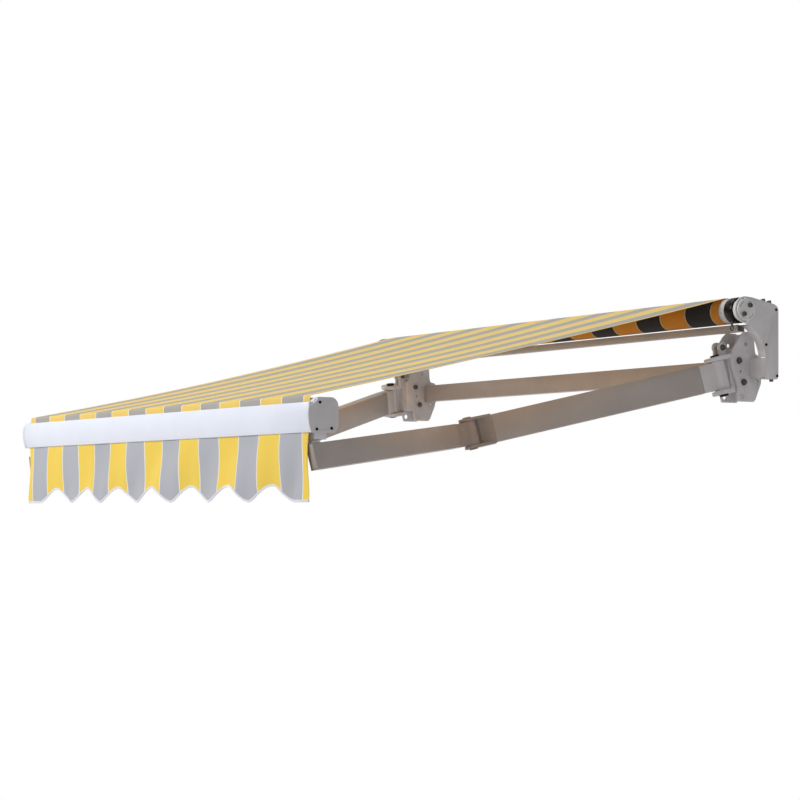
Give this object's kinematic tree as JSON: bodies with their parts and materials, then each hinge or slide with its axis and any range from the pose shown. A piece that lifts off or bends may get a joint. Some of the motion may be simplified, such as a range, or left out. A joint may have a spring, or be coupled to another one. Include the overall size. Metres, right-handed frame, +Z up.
{
  "type": "folding-arm awning",
  "caption": "Retractable striped canvas patio awning with folding arms, roller, torsion bar, crank gear, front bar and scalloped valance, without the wall.",
  "frame": {"origin": "on the wall plane, at the middle of the torsion bar", "axes": "+Z up, +X along the wall towards the crank end, +Y into the wall, so the awning reaches out along -Y"},
  "size_m": [2.191, 1.6872, 0.6473],
  "materials": {
    "white_coat": "satin powder coat",
    "grey_cast": "satin grey coat on cast aluminium",
    "taupe_coat": "satin taupe coat on aluminium",
    "steel": "zinc plated",
    "black_steel": "blackened steel",
    "black_plastic": "matte",
    "canvas": "woven acrylic, yellow and grey stripes"
  },
  "bodies": {
    "wall_frame": {"torsion_bar": "taupe_coat", "tie_rail": "taupe_coat", "right_side_plate": "grey_cast", "right_wall_bracket": "grey_cast", "right_wall_bolt_upper": "steel", "right_wall_bolt_lower": "steel", "right_shoulder_mount": "grey_cast", "right_pitch_bolt": "steel", "right_clamp_bolt": "steel", "right_lug_bolt": "steel", "right_shoulder_fork": "grey_cast", "right_shoulder_pin": "black_steel", "right_end_flange": "grey_cast", "left_side_plate": "grey_cast", "left_wall_bracket": "grey_cast", "left_wall_bolt_upper": "steel", "left_wall_bolt_lower": "steel", "left_shoulder_mount": "grey_cast", "left_pitch_bolt": "steel", "left_clamp_bolt": "steel", "left_lug_bolt": "steel", "left_shoulder_fork": "grey_cast", "left_shoulder_pin": "black_steel", "left_end_flange": "grey_cast", "gear_case": "black_plastic", "bearing_case": "black_plastic", "gear_bolt_upper": "steel", "gear_bolt_lower": "steel", "canopy": "canvas"},
    "roller": {"roller_tube": "steel", "wound_cloth": "canvas", "right_roller_plug": "black_plastic", "left_roller_plug": "black_plastic"},
    "crank": {"crank_eye": "steel"},
    "right_upper_arm": {"right_shoulder_knuckle": "grey_cast", "right_upper_arm_tube": "taupe_coat", "right_arm_spring": "steel", "right_elbow_fork": "grey_cast", "right_elbow_pin": "black_steel"},
    "right_forearm": {"right_elbow_knuckle": "grey_cast", "right_forearm_tube": "taupe_coat", "right_front_knuckle": "grey_cast"},
    "front_bar_body": {"front_bar": "white_coat", "right_bar_end_cap": "grey_cast", "left_bar_end_cap": "grey_cast", "right_bar_bracket": "grey_cast", "left_bar_bracket": "grey_cast", "right_front_pin": "black_steel", "left_front_pin": "black_steel", "valance": "canvas"},
    "left_upper_arm": {"left_shoulder_knuckle": "grey_cast", "left_upper_arm_tube": "taupe_coat", "left_arm_spring": "steel", "left_elbow_fork": "grey_cast", "left_elbow_pin": "black_steel"},
    "left_forearm": {"left_elbow_knuckle": "grey_cast", "left_forearm_tube": "taupe_coat", "left_front_knuckle": "grey_cast"}
  },
  "joints": [
    {"name": "right_shoulder", "type": "hinge", "parent": "wall_frame", "child": "right_upper_arm", "pos_m": [0.988, -0.168, -0.026], "axis": [0.1478, 0.1802, -0.9725], "range_deg": [0, 60.5], "deforming": ["canopy"]},
    {"name": "right_elbow", "type": "hinge", "parent": "right_upper_arm", "child": "right_forearm", "pos_m": [0.65169, -0.89251, -0.2114], "axis": [0.1478, 0.1802, -0.9725], "range_deg": [-121, 0]},
    {"name": "bar_on_right_arm", "type": "hinge", "parent": "right_forearm", "child": "front_bar_body", "pos_m": [0.988, -1.63535, -0.29796], "axis": [0.1478, 0.1802, -0.9725], "range_deg": [0, 60.5]},
    {"name": "left_shoulder", "type": "hinge", "parent": "wall_frame", "child": "left_upper_arm", "pos_m": [-0.988, -0.168, -0.026], "axis": [0.1478, -0.1802, 0.9725], "range_deg": [0, 60.5]},
    {"name": "left_elbow", "type": "hinge", "parent": "left_upper_arm", "child": "left_forearm", "pos_m": [-0.65169, -0.89251, -0.2114], "axis": [0.1478, -0.1802, 0.9725], "range_deg": [-121, 0]},
    {"name": "roller_turn", "type": "hinge", "parent": "wall_frame", "child": "roller", "pos_m": [0, -0.142, 0.179], "axis": [-1, 0, 0], "range_deg": [0, 1875.5]},
    {"name": "crank_turn", "type": "hinge", "parent": "wall_frame", "child": "crank", "pos_m": [1.044, -0.162, 0.122], "axis": [0, 0, 1], "range_deg": [0, 13128.5]}
  ],
  "couplings": [
    {"joint": "right_elbow", "follows": "right_shoulder", "ratio": -2},
    {"joint": "bar_on_right_arm", "follows": "right_shoulder", "ratio": 1},
    {"joint": "left_shoulder", "follows": "right_shoulder", "ratio": 1},
    {"joint": "left_elbow", "follows": "right_shoulder", "ratio": -2},
    {"joint": "roller_turn", "follows": "right_shoulder", "ratio": 31},
    {"joint": "crank_turn", "follows": "right_shoulder", "ratio": 217}
  ]
}
